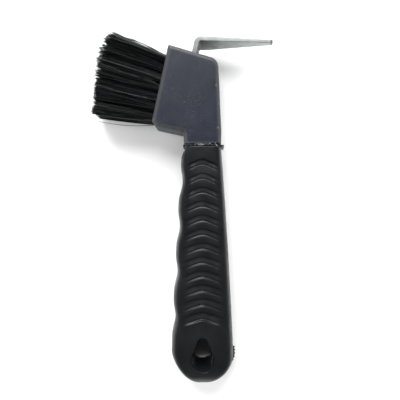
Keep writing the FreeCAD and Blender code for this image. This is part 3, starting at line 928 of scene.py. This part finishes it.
def make_tuft(column, row, material, chance):
    """One tuft: filaments packed in their hole that splay, bow and end raggedly."""
    root, out = tuft_frame(column, row)
    height = out.cross(Vector((0, 0, 1))).normalized()
    depth = out.cross(height).normalized()
    trim_out = Vector((-math.cos(TRIM_LEAN), math.sin(TRIM_LEAN), 0))
    trimmed = (Vector((*TRIM_PLACE, root.z)) - root).dot(trim_out) / out.dot(trim_out)
    points, faces, sheen_tones = [], [], []
    lean_high = chance.gauss(0, TUFT_LEAN[0])
    lean_deep = chance.gauss(0, TUFT_LEAN[1])
    for i in range(FILAMENTS_PER_TUFT):
        # The filaments fill the round hole evenly: a runs along the face and b across it.
        radius = math.sqrt((i + 0.5) / FILAMENTS_PER_TUFT)
        angle = i * GOLDEN_ANGLE
        a, b = radius * math.cos(angle), radius * math.sin(angle)
        length = filament_length(trimmed, column, radius, a, chance)
        high = a * TIP_HALF_HEIGHT + chance.gauss(0, TIP_SCATTER[0]) + lean_high
        deep = b * TIP_HALF_DEPTH + chance.gauss(0, TIP_SCATTER[1]) + lean_deep
        if chance.random() < DROOP_CHANCE:
            high -= abs(chance.gauss(0, DROOP))
        if column == TUFTS_PER_ROW - 1 and i in STRAY_FILAMENTS:
            high -= STRAY_DROP
        bow_high, bow_deep = chance.gauss(0, BOW[0]), chance.gauss(0, BOW[1])
        line = []
        for k in range(FILAMENT_RINGS):
            share = k / (FILAMENT_RINGS - 1)
            forward = -ROOT_START + (length + ROOT_START) * share
            splay = share**SPLAY_POWER
            bow = math.sin(math.pi * share)
            here = root + out * forward
            here += height * (a * ROOT_HALF_HEIGHT * (1 - splay) + high * splay + bow_high * bow)
            here += depth * (b * ROOT_HALF_DEPTH * (1 - splay) + deep * splay + bow_deep * bow)
            here.z = min(max(here.z, BRUSH_LOW_Z), GRIP_THICKNESS - BRUSH_TOP_MARGIN)
            line.append(here)
        add_filament(points, faces, line, chance.uniform(*FILAMENT_RADII))
        # Each filament's share of painted sheen; most get little.
        sheen_tones += [chance.random() ** SHEEN_STRAND_POWER] * (len(points) - len(sheen_tones))
    mesh = bpy.data.meshes.new("tuft")
    mesh.from_pydata([place(*point) for point in points], [], faces)
    mesh.attributes.new("strand", "FLOAT", "POINT").data.foreach_set("value", sheen_tones)
    mesh.update()
    label = f"{'abc'[row]}{column + 1}"
    tuft = add_object(f"filaments_{label}", mesh, material)
    finish_piece(tuft, "black_bristle", f"bristle_tuft_{label}")


def make_brush(material):
    chance = random.Random(RANDOM_SEED)
    for row in range(TUFT_ROWS):
        for column in range(TUFTS_PER_ROW):
            make_tuft(column, row, material, chance)


# ---- Staging ----
def make_floor():
    size = FLOOR_HALF_SIZE
    mesh = bpy.data.meshes.new("floor")
    corners = [(-size, -size, 0), (size, -size, 0), (size, size, 0), (-size, size, 0)]
    mesh.from_pydata(corners, [], [(0, 1, 2, 3)])
    floor = bpy.data.objects.new("floor", mesh)
    bpy.context.collection.objects.link(floor)
    mesh.materials.append(floor_material())
    floor.location.z = -FLOOR_DROP


def add_light(name, towards, size, power, glossy=True):
    """A round area light that looks at the tool's middle from the direction towards."""
    data = bpy.data.lights.new(name, "AREA")
    data.shape = "DISK"
    data.size = size
    data.energy = power
    light = bpy.data.objects.new(name, data)
    bpy.context.collection.objects.link(light)
    direction = Vector(towards).normalized()
    target = place(0, GRIP_LENGTH * LIGHT_TARGET_SHARE, MIDDLE_Z)
    light.location = target + direction * LIGHT_DISTANCE
    light.rotation_euler = direction.to_track_quat("Z", "Y").to_euler()
    light.visible_glossy = glossy


def make_lights():
    add_light("key", (-0.15, 1.0, 0.77), size=0.92, power=22.5)
    add_light("fill_right", (1.0, 0.1, 0.55), size=0.6, power=7.0, glossy=False)
    add_light("fill_left", (-0.9, 0.0, 0.9), size=0.7, power=6.5, glossy=False)
    add_light("fill_low", (0.1, -1.0, 0.6), size=0.6, power=4.6, glossy=False)
    world = bpy.data.worlds.new("soft_room")
    bpy.context.scene.world = world
    world.use_nodes = True
    nodes, links = world.node_tree.nodes, world.node_tree.links
    # The room's walls are bright and its ceiling, where the camera hangs, is dark.
    where = nodes.new("ShaderNodeTexCoord")
    split = nodes.new("ShaderNodeSeparateXYZ")
    links.new(where.outputs["Generated"], split.inputs["Vector"])
    walls = add_ramp(nodes, links, split.outputs["Z"], [(0.0, 0.75), (0.45, 0.55), (0.8, 0.12), (1.0, 0.05)])
    background = nodes["Background"]
    links.new(walls.outputs["Color"], background.inputs["Color"])
    background.inputs["Strength"].default_value = ROOM_BRIGHTNESS


def make_camera():
    """Straight above the tool and close to it, so that perspective shows the far side of edges."""
    data = bpy.data.cameras.new("camera")
    data.lens = CAMERA_LENS
    data.sensor_width = CAMERA_SENSOR
    data.clip_start = CAMERA_CLIP_START
    camera = bpy.data.objects.new("camera", data)
    bpy.context.collection.objects.link(camera)
    camera.location = place(CAMERA_X, CAMERA_Y, MIDDLE_Z + CAMERA_HEIGHT)
    bpy.context.scene.camera = camera


make_camera()
make_lights()
make_floor()
make_grip(rubber_material())
make_rim_flash(torn_rubber_material())
make_head(head_material())
make_hook(steel_material())
make_brush(bristle_material())
staples = frame["nodes"]["tuft_staples"]
staples.data.materials.clear()
staples.data.materials.append(wire_material())
bpy.context.scene.view_settings.view_transform = "Standard"
